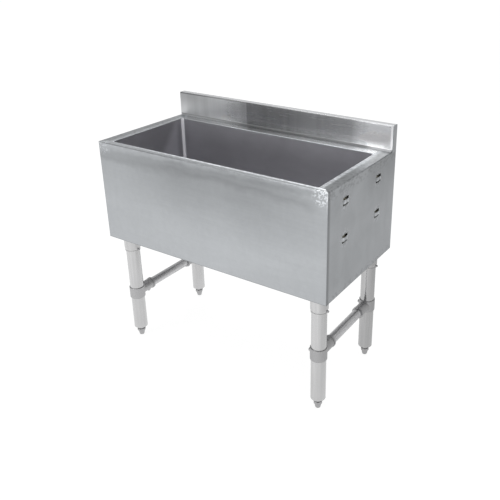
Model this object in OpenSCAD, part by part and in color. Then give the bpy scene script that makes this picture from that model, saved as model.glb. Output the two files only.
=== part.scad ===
// Insulated underbar ice chest on four tubular legs.
// Sizes in mm. Origin on the floor under the centre of the chest, +X along its length,
// +Y towards the backsplash, +Z up.

/* [Body] */
// Length of the chest body along X
body_w = 914.4; // [780:0.1:1220]
// Depth of the chest body front to back, backsplash included
body_d = 457.2; // [430:0.1:620]
// Height of the top rim above the floor
rim_height = 800; // [740:1:860]
// Height of the outer box from its bottom edge to the rim
body_h = 364; // [300:1:430]
// Thickness of the stainless sheet
sheet = 1.2; // [0.9:0.1:2]
// Outer radius of the bend between wall and rim
rim_bend_r = 4; // [3:0.5:9]
// Width of the flange folded in along the bottom edge
hem_w = 8; // [5:0.5:12]
// Radius to which the welded front corners are ground
corner_r = 2.5; // [1:0.1:3]

/* [Rim] */
// Width of the flat rim on each side
side_rim = 44; // [36:1:60]
// Width of the flat rim at the front
front_rim = 23; // [18:1:40]
// Depth of the ledge in front of the backsplash
rear_ledge = 46; // [30:1:70]

/* [Backsplash] */
// Height of the backsplash above the rim
splash_h = 88.9; // [50:0.1:150]
// Thickness of the boxed backsplash
splash_t = 28; // [20:1:50]
// Outer radius of the bends along the top of the backsplash
splash_bend_r = 4; // [2:0.5:8]
// Radius of the cove where the ledge meets the backsplash
cove_r = 8; // [4:0.5:12]
// Length of the rear skirt of the backsplash below the rim
splash_skirt = 32; // [20:1:60]

/* [Bin] */
// Space between the bottom pan and the floor of the bin
floor_space = 34; // [28:0.5:80]
// Radius of the coved corners of the bin
bin_cove_r = 12; // [6:1:25]
// Width of the liner flange under the rim
liner_flange = 12; // [8:1:15]
// Depth of the dish round the drain
dish_depth = 5; // [3:0.5:7]
// Radius of the flat floor of the dish
dish_r = 37; // [36:0.5:45]
// Radial run of the sloping edge of the dish
dish_slope = 8; // [4:1:14]

/* [Bottom pan] */
// Height of the pan above the bottom edge of the body
pan_lift = 25; // [22:0.5:30]
// Depth of the skirt folded down round the pan
pan_skirt = 18; // [10:0.5:20]

/* [Insulation] */
// Gap between an insulation board and the sheet beside it
board_gap = 0.3; // [0.2:0.1:1]
// Gap between the top of the upright boards and the start of the rim bend
board_drop = 1; // [0.5:0.5:20]
// Thickness of the side boards, which stand against the liner
side_board_t = 30; // [15:1:32]
// Thickness of the back board, which stands against the liner
back_board_t = 40; // [15:1:45]
// Radius of the hole in the bottom board round the drain
board_drain_r = 50; // [48:1:65]

/* [Drain] */
// Outer radius of the drain flange
drain_flange_r = 34; // [32:0.5:35.5]
// Thickness of the drain flange
drain_flange_t = 3; // [2.5:0.1:3.5]
// Outer radius of the threaded drain cup
cup_r = 27; // [26.5:0.1:28]
// Length of the cup below the drain flange
cup_len = 22; // [18:0.5:23]
// Wall of the cup at its foot
cup_wall = 3; // [2:0.1:4]
// Clearance round the cup in the liner, gasket, washer and locknut
cup_fit = 0.1; // [0.05:0.01:0.3]
// Radius of the seat for the strainer
seat_r = 25; // [23.5:0.1:25.4]
// Width of the ledge that carries the strainer
seat_ledge = 1.5; // [1:0.1:2.5]
// Depth of the strainer seat below the top of the flange
seat_depth = 2.4; // [2.1:0.1:2.4]
// Outer radius of the drain spigot, a one inch pipe
spigot_r = 16.7; // [13:0.1:18]
// Wall of the drain spigot
spigot_wall = 3.3; // [2:0.1:4]
// Length of the spigot below the bottom pan
spigot_len = 45; // [30:1:60]
// Step of the thicker neck of the spigot above the pan
neck_step = 1; // [0.5:0.1:1.5]
// Clearance between that neck and the hole in the pan
neck_gap = 1; // [0.5:0.1:3]
// Thickness of the rubber gasket under the drain flange
gasket_t = 2; // [1:0.1:3]
// How far the gasket stays inside the edge of the drain flange
gasket_inset = 1; // [0.5:0.1:3]
// Thickness of the fibre washer under the liner
washer_t = 2; // [1:0.1:3]
// Height of the drain locknut
locknut_h = 9; // [7:0.5:10]
// Width across flats of the drain locknut
locknut_af = 66; // [63:1:72]
// Thickness of the perforated strainer
strainer_t = 2; // [1.5:0.1:2]
// Number of small holes in the inner ring, half of those in the outer ring
strainer_holes = 8; // [8:4:8]
// Radius of the inner ring of small holes
inner_ring_r = 9; // [8.4:0.1:9.4]
// Radius of the outer ring of small holes
outer_ring_r = 19; // [18:0.1:20]
// Radius of the small holes in the strainer
strainer_hole_r = 2.2; // [1.2:0.1:2.4]
// Radius of the two finger holes in the strainer
finger_hole_r = 3.6; // [3:0.1:3.8]
// Distance of the finger holes from the middle of the strainer
finger_hole_x = 10; // [9.5:0.1:11]
// Radial clearance between the strainer and its seat
strainer_fit = 0.1; // [0.05:0.01:0.3]

/* [Leg channels] */
// Width of the channel under the pan
channel_w = 76; // [74:1:84]
// Thickness of the channel plate
channel_t = 2; // [1.5:0.1:3]
// Height of the socket plates' undersides above the bottom edge of the body
plate_recess = 1; // [0.5:0.5:3]
// Gap between the ends of the channel and the pan skirt
channel_end_gap = 1; // [0.5:0.1:5]

/* [Legs] */
// Outer diameter of the leg tube, two inches
leg_od = 50.8; // [48:0.1:51.5]
// Wall of the leg tube
leg_wall = 1.65; // [1.2:0.05:2.5]
// Distance from the side of the body to a leg axis
leg_inset_x = 54; // [52:0.5:80]
// Distance from the front of the body to a front leg axis
leg_inset_front = 54; // [52:0.5:75]
// Distance from the back of the body to a rear leg axis
leg_inset_rear = 54; // [52:0.5:75]
// Height of the bottom end of the leg tube above the floor
leg_bottom = 41; // [40:0.5:50]
// Radial clearance where a tube sits in a socket, clamp or insert
tube_fit = 0.05; // [0.05:0.01:0.1]

/* [Leg sockets] */
// Side of the square socket plate
plate_w = 80; // [78:0.5:82]
// Thickness of the socket plate
plate_t = 3; // [2:0.1:4]
// Corner radius of the socket plate
plate_corner_r = 8; // [4:0.5:12]
// Radius of the upper, straight part of the socket
socket_r = 29.4; // [28.6:0.1:31]
// Height of the straight part below the plate
socket_straight = 52; // [40:1:60]
// Height of the taper below the straight part
socket_taper = 8; // [5:0.5:20]
// Wall of the socket at its lower lip
socket_lip_wall = 2; // [1.6:0.1:3]
// Height of the lower lip
socket_lip_h = 5; // [3:0.5:10]
// Step in radius between the lip and the end of the taper
socket_lip_step = 0.8; // [0.3:0.1:1.5]
// Roof of the socket above the end of the tube
socket_roof = 4; // [3:0.5:8]
// Offset of the socket bolts from the leg axis along X and Y
bolt_offset = 29; // [28.5:0.1:30]
// Radius of the socket bolts
bolt_r = 3; // [2.5:0.1:3]
// Radial clearance of the bolts in their holes
bolt_fit = 0.3; // [0.1:0.1:0.5]
// Width across flats of the bolt heads and nuts
bolt_af = 10; // [9:0.1:10]
// Height of the bolt heads
bolt_head_h = 4; // [3:0.1:5]
// Height of the nuts
nut_h = 5; // [4:0.1:6]
// Radius of the set screw in a socket
set_screw_r = 4; // [3:0.1:5]
// Distance from the end of the straight part down to the set screw
set_screw_drop = 4; // [2:0.5:6]
// Distance from the tube surface to the outer end of the set screw
set_screw_len = 8; // [7:0.5:14]
// Depth of the hex recess in the set screw
hex_depth = 4; // [2:0.5:5]

/* [Feet] */
// Height of the conical lip of the insert below the tube
lip_h = 5; // [4:0.5:6]
// Radius of the lower end of the lip
lip_r = 18; // [16:0.1:21]
// Length of the insert inside the tube
insert_len = 55; // [45:1:80]
// Radius of the foot shank
shank_r = 12; // [10:0.1:12.5]
// Radius of the bottom of the foot
foot_tip_r = 9; // [6:0.1:10]
// Height of the tapered part of the foot
foot_taper_h = 19; // [15:0.5:19]
// Radius of the upper end of the tapered part
foot_body_r = 13; // [12.5:0.1:13.5]
// Height of the hexagonal collar above the tapered part
foot_collar_h = 9; // [6:0.5:9]
// Width across flats of that collar
foot_collar_af = 28; // [27:0.5:30]
// Radius of the rounding at the bottom of the foot
foot_round = 2; // [1:0.1:3]
// Small bevel on the foot's edges
foot_bevel = 1; // [0.5:0.1:1.5]
// Length of the shank inside the insert
shank_in = 15; // [12:0.5:20]
// Radius of the foot stem
stem_r = 6; // [5:0.1:7]
// Length of the stem above the shank
stem_len = 50; // [48:1:70]
// Radial running clearance of the foot in its insert
foot_fit = 0.05; // [0.03:0.01:0.1]
// Upward travel of a foot from the drawn place
foot_up = 6; // [3:0.5:6.5]

/* [Side rails] */
// Height of the left rail's axis above the floor
left_rail_z = 195; // [120:1:300]
// Height of the right rail's axis above the floor, its clamps are set higher on the legs
right_rail_z = 218; // [120:1:300]
// Outer diameter of the rail tube
rail_od = 33.4; // [30:0.1:34]
// Wall of the rail tube
rail_wall = 1.5; // [1:0.1:2.5]
// Radial clearance of the rail in the clamp
rail_fit = 0.05; // [0.05:0.01:0.1]
// Wall of the clamp ring round the leg
ring_wall = 3; // [2.8:0.1:4]
// Height of the clamp ring
ring_h = 44; // [43:1:60]
// Chamfer on the clamp ring's outer edges
ring_chamfer = 1.2; // [0.5:0.1:2]
// Wall of the clamp socket round the rail
arm_wall = 3.2; // [3:0.1:4]
// Reach of the clamp socket from the leg axis
arm_reach = 76; // [65:1:85]
// Distance from the mouth of the clamp socket back to its screw
screw_setback = 18; // [15:0.5:22]
// Gap between the end of the rail and the clamp ring
rail_end_gap = 2; // [0.5:0.5:8]
// Height of the web under and over the clamp socket
web_h = 21.5; // [21:0.1:22]
// Thickness of that web
web_t = 6; // [4:0.5:10]
// Width of the raised band at the mouth of the clamp socket
band_w = 7; // [4:0.5:10]
// Height of that band above the clamp socket
band_h = 1.6; // [0.8:0.1:2.4]
// Radius of the screws in a clamp
clamp_screw_r = 3; // [2.5:0.1:4]
// Width across flats of the clamp screw heads
clamp_screw_af = 10; // [9:0.1:12]
// Height of the clamp screw heads
clamp_screw_head = 4.5; // [3:0.1:6]
// Radius of the cast boss under a clamp screw
boss_r = 7; // [6:0.1:8]
// Height of that boss above the ring or socket
boss_h = 2.5; // [1.5:0.1:4]

/* [Side lances] */
// Distance from the front of the body to the front lances
lance_front = 107; // [90:1:140]
// Spacing of the lances front to back
lance_pitch_y = 221; // [180:1:240]
// Distance from the rim down to the upper lances
lance_top = 60; // [50:1:90]
// Spacing of the lances in height
lance_pitch_z = 122; // [80:1:140]
// Length of a lance front to back
lance_len = 34; // [26:1:44]
// Height of the raised bridge of a lance
lance_bridge = 13; // [8:0.5:18]
// Height of each slot beside the bridge
lance_slot = 6.5; // [4:0.5:9]
// How far the bridge stands out
lance_proud = 3.5; // [2:0.1:5]
// Length of each sloping end of the bridge
lance_ramp = 6; // [4:0.5:9]

/* [Hidden] */
$fn = 64;
fine = 32;

// Faces of the body
x_side = body_w / 2;
y_front = -body_d / 2;
y_back = body_d / 2;
z_rim = rim_height;
z_edge = rim_height - body_h;
y_splash = y_back - splash_t;
z_splash = z_rim + splash_h;

// Opening of the ice bin
x_bin = x_side - side_rim;
y_bin_front = y_front + front_rim;
y_bin_rear = y_splash - rear_ledge;
z_bin = z_edge + pan_lift + floor_space;

// Insulation: upright boards stand on the bottom board and end below the rim bend
z_upright = z_bin - sheet - board_gap;
upright_h = z_rim - rim_bend_r - board_drop - z_upright;
board_x = x_side - sheet - board_gap;
board_y = y_back - sheet - board_gap;
side_board_in = x_bin + sheet + board_gap;
front_board_in = y_bin_front - sheet - board_gap;
back_board_in = y_bin_rear + sheet + board_gap;

// Bottom pan and leg channels
z_pan = z_edge + pan_lift;
z_board = z_pan + sheet;
z_plate = z_edge + plate_recess + plate_t;
channel_h = z_pan - z_plate;

// Drain, on the middle of the bin floor
drain_y = (y_bin_front + y_bin_rear) / 2;
z_dish = z_bin - dish_depth;
z_flange = z_dish + gasket_t;
z_flange_top = z_flange + drain_flange_t;
z_seat = z_flange_top - seat_depth;
z_cup = z_flange - cup_len;
z_washer = z_dish - sheet - washer_t;
bore_r = spigot_r - spigot_wall;

// Legs
leg_r = leg_od / 2;
leg_in_r = leg_r - leg_wall;
x_leg = x_side - leg_inset_x;
y_leg_front = y_front + leg_inset_front;
y_leg_rear = y_back - leg_inset_rear;
z_plate_low = z_plate - plate_t;
leg_top = z_plate_low - socket_roof;
z_taper = z_plate_low - socket_straight;
z_lip = z_taper - socket_taper;
lip_out_r = leg_r + tube_fit + socket_lip_wall;
z_set_screw = z_taper - set_screw_drop;

// Feet
z_lip_low = leg_bottom - lip_h;
z_shank_top = z_lip_low + shank_in;
bore_step = z_shank_top + foot_up + 1;
insert_top = leg_bottom + insert_len;

// Side rails
rail_r = rail_od / 2;
ring_in = leg_r + tube_fit;
ring_out = ring_in + ring_wall;
arm_in = rail_r + rail_fit;
arm_out = arm_in + arm_wall;
rail_end = ring_out + rail_end_gap;
function rail_height(side) = side < 0 ? left_rail_z : right_rail_z;

steel = [0.68, 0.7, 0.72];
liner_steel = [0.56, 0.56, 0.58];
tube_steel = [0.78, 0.79, 0.8];
galvanised = [0.62, 0.63, 0.64];
cast = [0.6, 0.61, 0.62];
foam = [0.93, 0.9, 0.78];
rubber = [0.12, 0.12, 0.12];
fibre = [0.55, 0.3, 0.2];
brass = [0.72, 0.6, 0.35];
zinc = [0.75, 0.75, 0.77];

// Area below and right of a rounded corner
module corner_area(left, low, top, r, wide) {
    translate([left, low]) square([wide, top - r - low]);
    translate([left + r, low]) square([wide - r, top - low]);
    translate([left + r, top - r]) circle(r = r);
}

// Wall with its rim and hem in section: x runs inward from the outer face, y is height
module wall_profile(rim) {
    difference() {
        corner_area(0, z_edge, z_rim, rim_bend_r, rim);
        corner_area(sheet, z_edge - 1, z_rim - sheet, rim_bend_r - sheet, rim);
    }
    translate([0, z_edge]) square([hem_w, sheet]);
}

// Whole body with its front corners ground round
module ground_body() {
    translate([0, 0, z_edge]) linear_extrude(body_h) {
        translate([-x_side, y_front + corner_r]) square([body_w, body_d]);
        translate([-x_side + corner_r, y_front]) square([body_w - 2 * corner_r, body_d]);
        for (x = [-x_side + corner_r, x_side - corner_r])
            translate([x, y_front + corner_r]) circle(r = corner_r);
    }
}

// Front wall and its rim, mitred at both ends
module front_panel() {
    color(steel) intersection() {
        ground_body();
        translate([-x_side, y_front, 0]) rotate([90, 0, 90])
            linear_extrude(body_w) wall_profile(front_rim);
        translate([0, 0, z_edge]) linear_extrude(body_h) polygon([
            [-x_side, y_front], [x_side, y_front],
            [x_side - front_rim, y_bin_front], [-x_side + front_rim, y_bin_front]
        ]);
    }
}

// Window that a lance opens in the sheet, centred on the origin in the YZ plane
module lance_window() {
    height = lance_bridge + 2 * lance_slot;
    translate([-sheet, -lance_len / 2, -height / 2]) cube([3 * sheet, lance_len, height]);
}

// Raised strip of a lance, standing out towards -X, with its roots in the sheet
module lance_strip() {
    half = lance_len / 2;
    top = half - lance_ramp;
    root = half + sheet;
    translate([0, 0, -lance_bridge / 2]) linear_extrude(lance_bridge) polygon([
        [0, -root], [0, -half], [-lance_proud, -top], [-lance_proud, top], [0, half], [0, root],
        [sheet, root], [sheet, half], [sheet - lance_proud, top], [sheet - lance_proud, -top],
        [sheet, -half], [sheet, -root]
    ]);
}

// Left wall with its rim and four lances
module side_panel() {
    difference() {
        intersection() {
            ground_body();
            translate([-x_side, y_back, 0]) rotate([90, 0, 0])
                linear_extrude(body_d) wall_profile(side_rim);
            translate([0, 0, z_edge]) linear_extrude(body_h) polygon([
                [-x_side, y_front], [-x_side + front_rim, y_bin_front],
                [-x_bin, y_bin_front], [-x_bin, y_back], [-x_side, y_back]
            ]);
        }
        // room for the backsplash and its end plate
        translate([-x_side - 1, y_splash, z_rim - rim_bend_r])
            cube([side_rim + 2, splash_t + 1, rim_bend_r + 1]);
        // room for the strip under the cove
        translate([-x_side + rim_bend_r, y_splash - cove_r, z_rim - sheet - 1])
            cube([side_rim, cove_r + 1, sheet + 2]);
        at_lances() lance_window();
    }
    at_lances() lance_strip();
}

module at_lances() {
    for (y = [0, lance_pitch_y], z = [0, lance_pitch_z])
        translate([-x_side, y_front + lance_front + y, z_rim - lance_top - z]) children();
}

module left_panel() { color(steel) side_panel(); }
module right_panel() { color(steel) mirror([1, 0, 0]) side_panel(); }

// Plain rear sheet up to the skirt of the backsplash
module back_panel() {
    color(steel) {
        translate([-x_side + sheet, y_back - sheet, z_edge])
            cube([body_w - 2 * sheet, sheet, body_h - splash_skirt]);
        translate([-x_side + hem_w, y_back - hem_w, z_edge])
            cube([body_w - 2 * hem_w, hem_w, sheet]);
    }
}

// Tray that closes the bottom, with its skirt folded down
module bottom_pan() {
    wide = body_w - 2 * sheet;
    deep = body_d - 2 * sheet;
    color(steel) difference() {
        translate([-wide / 2, -deep / 2, z_pan - pan_skirt]) cube([wide, deep, pan_skirt + sheet]);
        translate([-wide / 2 + sheet, -deep / 2 + sheet, z_pan - pan_skirt - 1])
            cube([wide - 2 * sheet, deep - 2 * sheet, pan_skirt + 1]);
        translate([0, drain_y, z_pan - 1]) cylinder(r = spigot_r + neck_step + neck_gap, h = sheet + 2);
    }
}

// Solid with the shape of the bin's inside, larger by the amount grow on walls and floor
module bin_shape(grow, z_top) {
    r = bin_cove_r + grow;
    low = z_bin - grow;
    x1 = x_bin + grow - r;
    y0 = y_bin_front - grow + r;
    y1 = y_bin_rear + grow - r;
    translate([-x1, y0, low]) cube([2 * x1, y1 - y0, z_top - low]);
    translate([-x1 - r, y0, low + r]) cube([2 * (x1 + r), y1 - y0, z_top - low - r]);
    translate([-x1, y0 - r, low + r]) cube([2 * x1, y1 - y0 + 2 * r, z_top - low - r]);
    for (x = [-x1, x1], y = [y0, y1]) translate([x, y, low + r]) {
        sphere(r = r);
        cylinder(r = r, h = z_top - low - r);
    }
    for (y = [y0, y1])
        translate([-x1, y, low + r]) rotate([0, 90, 0]) cylinder(r = r, h = 2 * x1);
    for (x = [-x1, x1])
        translate([x, y0, low + r]) rotate([-90, 0, 0]) cylinder(r = r, h = y1 - y0);
}

// Coved liner, hung by a flange under the rim
module liner() {
    color(liner_steel) difference() {
        union() {
            bin_shape(sheet, z_rim - sheet);
            translate([-x_bin - liner_flange, y_bin_front - liner_flange, z_rim - 2 * sheet])
                cube([2 * (x_bin + liner_flange),
                      y_bin_rear - y_bin_front + 2 * liner_flange, sheet]);
            translate([0, drain_y, z_dish - sheet])
                cylinder(r1 = dish_r + sheet, r2 = dish_r + dish_slope + sheet, h = dish_depth);
        }
        bin_shape(0, z_rim + 1);
        translate([0, drain_y, z_dish])
            cylinder(r1 = dish_r, r2 = dish_r + dish_slope, h = dish_depth + 0.01);
        translate([0, drain_y, z_dish - 2 * sheet]) cylinder(r = cup_r + cup_fit, h = 4 * sheet);
    }
}

// Area under a top with two rounded corners
module boxed_area(left, right, low, top, r) {
    translate([left, low]) square([right - left, top - r - low]);
    translate([left + r, low]) square([right - left - 2 * r, top - low]);
    for (x = [left + r, right - r]) translate([x, top - r]) circle(r = r);
}

// Face, top and rear skirt folded from one sheet, with the face ending at the ledge
module splash_profile() {
    low = z_rim - splash_skirt;
    difference() {
        boxed_area(y_splash, y_back, low, z_splash, splash_bend_r);
        boxed_area(y_splash + sheet, y_back - sheet, low - 1, z_splash - sheet,
                   splash_bend_r - sheet);
        translate([y_splash - 1, low - 1]) square([2 * sheet + 1, splash_skirt - sheet + 1]);
    }
}

// Fillet along the foot of the backsplash, let into the sheets behind and below it
module cove_profile() {
    difference() {
        translate([y_splash - cove_r, z_rim - sheet / 2]) square(cove_r + sheet / 2);
        translate([y_splash - cove_r, z_rim + cove_r]) circle(r = cove_r);
    }
}

module backsplash() {
    long = body_w - 2 * rim_bend_r;
    color(steel) {
        translate([-x_side + sheet, 0, 0]) rotate([90, 0, 90])
            linear_extrude(body_w - 2 * sheet) splash_profile();
        translate([-x_bin, y_bin_rear, z_rim - sheet])
            cube([2 * x_bin, rear_ledge + sheet, sheet]);
        translate([-long / 2, y_splash - cove_r, z_rim - sheet])
            cube([long, cove_r + sheet, sheet]);
        translate([-long / 2, 0, 0]) rotate([90, 0, 90]) linear_extrude(long) cove_profile();
    }
}

// Plate that closes the left end of the backsplash
module splash_end() {
    low = z_rim - rim_bend_r;
    translate([-x_side, y_splash, low])
        cube([sheet, splash_t, z_splash - splash_bend_r - low]);
    translate([-x_side, y_splash + splash_bend_r, z_splash - splash_bend_r])
        cube([sheet, splash_t - 2 * splash_bend_r, splash_bend_r]);
    for (y = [y_splash + splash_bend_r, y_back - splash_bend_r])
        translate([-x_side, y, z_splash - splash_bend_r]) rotate([0, 90, 0])
            cylinder(r = splash_bend_r, h = sheet);
}

module splash_end_left() { color(steel) splash_end(); }
module splash_end_right() { color(steel) mirror([1, 0, 0]) splash_end(); }

module insulation_front() {
    color(foam) translate([-board_x, -board_y, z_upright])
        cube([2 * board_x, front_board_in + board_y, upright_h]);
}

module insulation_back() {
    color(foam) translate([-board_x, back_board_in, z_upright])
        cube([2 * board_x, back_board_t, upright_h]);
}

module insulation_side() {
    translate([-side_board_in - side_board_t, front_board_in, z_upright])
        cube([side_board_t, back_board_in - front_board_in, upright_h]);
}

module insulation_left() { color(foam) insulation_side(); }
module insulation_right() { color(foam) mirror([1, 0, 0]) insulation_side(); }

module insulation_bottom() {
    color(foam) difference() {
        translate([-board_x, -board_y, z_board])
            cube([2 * board_x, 2 * board_y, z_upright - z_board]);
        translate([0, drain_y, z_board - 1]) cylinder(r = board_drain_r, h = z_upright - z_board + 2);
    }
}

// Drain flange, threaded cup and spigot in one turned piece
module drain_body() {
    z_end = z_pan - spigot_len;
    color(brass) translate([0, drain_y, 0]) difference() {
        union() {
            translate([0, 0, z_flange]) cylinder(r = drain_flange_r, h = drain_flange_t);
            translate([0, 0, z_cup]) cylinder(r = cup_r, h = cup_len);
            translate([0, 0, z_pan]) cylinder(r = spigot_r + neck_step, h = z_cup - z_pan);
            translate([0, 0, z_end]) cylinder(r = spigot_r, h = spigot_len);
        }
        translate([0, 0, z_seat]) cylinder(r = seat_r, h = seat_depth + 1);
        translate([0, 0, z_cup + cup_wall])
            cylinder(r1 = bore_r, r2 = seat_r - seat_ledge, h = z_seat - z_cup - cup_wall + 0.01);
        translate([0, 0, z_end - 1]) cylinder(r = bore_r, h = z_cup - z_end + cup_wall + 2);
    }
}

module ring(outer, inner, height) {
    difference() {
        cylinder(r = outer, h = height);
        translate([0, 0, -1]) cylinder(r = inner, h = height + 2);
    }
}

module drain_gasket() {
    color(rubber) translate([0, drain_y, z_dish])
        ring(drain_flange_r - gasket_inset, cup_r + cup_fit, gasket_t);
}

module drain_washer() {
    color(fibre) translate([0, drain_y, z_washer]) ring(dish_r, cup_r + cup_fit, washer_t);
}

module drain_locknut() {
    color(brass) translate([0, drain_y, z_washer - locknut_h]) difference() {
        cylinder(d = locknut_af / cos(30), h = locknut_h, $fn = 6);
        translate([0, 0, -1]) cylinder(r = cup_r + cup_fit, h = locknut_h + 2);
    }
}

// Perforated disc with two rings of holes and two finger holes
module drain_strainer() {
    color(steel) translate([0, drain_y, z_seat + strainer_fit]) difference() {
        cylinder(r = seat_r - strainer_fit, h = strainer_t);
        for (i = [0 : 2 * strainer_holes - 1]) rotate(i * 180 / strainer_holes)
            translate([outer_ring_r, 0, -1]) cylinder(r = strainer_hole_r, h = strainer_t + 2);
        for (i = [0 : strainer_holes - 1])
            if (i % (strainer_holes / 2) != 0)
                rotate(i * 360 / strainer_holes) translate([inner_ring_r, 0, -1])
                    cylinder(r = strainer_hole_r, h = strainer_t + 2, $fn = fine);
        for (side = [-1, 1]) translate([side * finger_hole_x, 0, -1])
            cylinder(r = finger_hole_r, h = strainer_t + 2);
    }
}

// Places a child at each leg axis of one side
module at_side_legs(side) {
    for (y = [y_leg_front, y_leg_rear]) translate([side * x_leg, y, 0]) children();
}

// Places a child at all four leg axes
module at_legs() {
    for (side = [-1, 1]) at_side_legs(side) children();
}

// Four bolt places round a leg axis
module at_bolts() {
    for (x = [-bolt_offset, bolt_offset], y = [-bolt_offset, bolt_offset])
        translate([x, y, 0]) children();
}

// Channel welded under the pan, front to back over two legs
module leg_channel(side) {
    length = body_d - 4 * sheet - 2 * channel_end_gap;
    color(galvanised) difference() {
        translate([side * x_leg - channel_w / 2, -length / 2, z_plate])
            cube([channel_w, length, channel_h]);
        translate([side * x_leg - channel_w / 2 + channel_t, -length / 2 - 1, z_plate + channel_t])
            cube([channel_w - 2 * channel_t, length + 2, channel_h]);
        at_side_legs(side) at_bolts() translate([0, 0, z_plate - 1])
            cylinder(r = bolt_r + bolt_fit, h = channel_t + 2, $fn = fine);
    }
}

module leg_channel_left() { leg_channel(-1); }
module leg_channel_right() { leg_channel(1); }

// Socket with a square plate, a straight part, a taper and a lip
module socket() {
    half = plate_w / 2 - plate_corner_r;
    color(tube_steel) difference() {
        union() {
            translate([-half, -plate_w / 2, z_plate_low]) cube([2 * half, plate_w, plate_t]);
            translate([-plate_w / 2, -half, z_plate_low]) cube([plate_w, 2 * half, plate_t]);
            for (x = [-half, half], y = [-half, half])
                translate([x, y, z_plate_low]) cylinder(r = plate_corner_r, h = plate_t);
            translate([0, 0, z_taper]) cylinder(r = socket_r, h = socket_straight);
            translate([0, 0, z_lip])
                cylinder(r1 = lip_out_r - socket_lip_step, r2 = socket_r, h = socket_taper);
            translate([0, 0, z_lip - socket_lip_h]) cylinder(r = lip_out_r, h = socket_lip_h);
        }
        translate([0, 0, z_lip - socket_lip_h - 1])
            cylinder(r = leg_r + tube_fit, h = leg_top - z_lip + socket_lip_h + 1);
        at_bolts() translate([0, 0, z_plate_low - 1])
            cylinder(r = bolt_r + bolt_fit, h = plate_t + 2, $fn = fine);
        translate([0, 0, z_set_screw]) rotate([0, 90, 0])
            cylinder(r = set_screw_r + tube_fit, h = socket_r + 1, $fn = fine);
    }
}

module leg() {
    color(tube_steel) translate([0, 0, leg_bottom]) ring(leg_r, leg_in_r, leg_top - leg_bottom);
}

// Insert with a conical lip, a wide bore for the shank and a narrow one for the stem
module insert() {
    color(cast) difference() {
        union() {
            translate([0, 0, z_lip_low]) cylinder(r1 = lip_r, r2 = leg_r, h = lip_h);
            translate([0, 0, leg_bottom]) cylinder(r = leg_in_r - tube_fit, h = insert_len);
        }
        translate([0, 0, z_lip_low - 1])
            cylinder(r = shank_r + foot_fit, h = bore_step - z_lip_low + 1);
        translate([0, 0, bore_step - 1])
            cylinder(r = stem_r + foot_fit, h = insert_top - bore_step + 2);
    }
}

// Bullet foot in one piece with its hexagonal collar, shank and stem
module foot() {
    round = [for (a = [0 : 15 : 90])
        [foot_tip_r - foot_round + foot_round * sin(a), foot_round - foot_round * cos(a)]];
    color(cast) {
        rotate_extrude() polygon(concat([[0, 0]], round, [
            [foot_body_r, foot_taper_h], [shank_r, foot_taper_h + foot_bevel],
            [shank_r, z_shank_top - foot_bevel], [shank_r - foot_bevel, z_shank_top],
            [stem_r, z_shank_top], [stem_r, z_shank_top + stem_len - foot_bevel],
            [stem_r - foot_bevel, z_shank_top + stem_len], [0, z_shank_top + stem_len]
        ]));
        translate([0, 0, foot_taper_h]) foot_collar();
    }
}

// Hexagonal collar with its corners turned off above and below
module foot_collar() {
    corner = foot_collar_af / cos(30) / 2;
    intersection() {
        cylinder(r = corner, h = foot_collar_h, $fn = 6);
        rotate_extrude() polygon([
            [0, 0], [corner - 2 * foot_bevel, 0], [corner, foot_bevel],
            [corner, foot_collar_h - foot_bevel], [corner - 2 * foot_bevel, foot_collar_h],
            [0, foot_collar_h]
        ]);
    }
}

// Boss or screw that points away from the leg towards -X at the ring
module at_ring_screw() {
    rotate([0, -90, 0]) children();
}

// Screw place on the outer side of the clamp socket
module at_arm_screw() {
    translate([0, arm_reach - screw_setback, 0]) rotate([180, 0, 0]) children();
}

// Cast clamp: ring round the leg, socket round the rail, webs and screw bosses
module clamp(side) {
    color(cast) translate([0, 0, rail_height(side)]) difference() {
        union() {
            rotate_extrude() polygon([
                [0, -ring_h / 2], [ring_out - ring_chamfer, -ring_h / 2],
                [ring_out, -ring_h / 2 + ring_chamfer], [ring_out, ring_h / 2 - ring_chamfer],
                [ring_out - ring_chamfer, ring_h / 2], [0, ring_h / 2]
            ]);
            rotate([-90, 0, 0]) cylinder(r = arm_out, h = arm_reach);
            translate([0, arm_reach - band_w, 0]) rotate([-90, 0, 0])
                cylinder(r = arm_out + band_h, h = band_w);
            translate([-web_t / 2, 0, -web_h]) cube([web_t, arm_reach - band_w, 2 * web_h]);
            at_ring_screw() cylinder(r = boss_r, h = ring_out + boss_h);
            at_arm_screw() cylinder(r = boss_r, h = arm_out + boss_h);
        }
        translate([0, 0, -ring_h]) cylinder(r = ring_in, h = 2 * ring_h);
        translate([0, ring_out, 0]) rotate([-90, 0, 0]) cylinder(r = arm_in, h = arm_reach);
        at_ring_screw() cylinder(r = clamp_screw_r + tube_fit, h = 2 * ring_out, $fn = fine);
        at_arm_screw() cylinder(r = clamp_screw_r + tube_fit, h = 2 * arm_out, $fn = fine);
    }
}

// One clamp screw: shank from the tube it bears on, and a hex head outside the boss
module clamp_screw(tube_radius, outside) {
    translate([0, 0, tube_radius])
        cylinder(r = clamp_screw_r, h = outside - tube_radius + clamp_screw_head / 2, $fn = fine);
    translate([0, 0, outside])
        cylinder(d = clamp_screw_af / cos(30), h = clamp_screw_head, $fn = 6);
}

module clamp_screws() {
    color(zinc) at_clamps() {
        at_ring_screw() clamp_screw(leg_r, ring_out + boss_h);
        at_arm_screw() clamp_screw(rail_r, arm_out + boss_h);
    }
}

// All four clamps reach towards the middle of their side
module at_clamps() {
    for (side = [-1, 1]) translate([0, 0, rail_height(side)]) {
        translate([side * x_leg, y_leg_front, 0]) children();
        translate([side * x_leg, y_leg_rear, 0]) mirror([0, 1, 0]) children();
    }
}

module side_rail(side) {
    start = y_leg_front + rail_end;
    length = y_leg_rear - rail_end - start;
    color(galvanised) translate([side * x_leg, start, rail_height(side)]) rotate([-90, 0, 0])
        ring(rail_r, rail_r - rail_wall, length);
}

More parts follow.
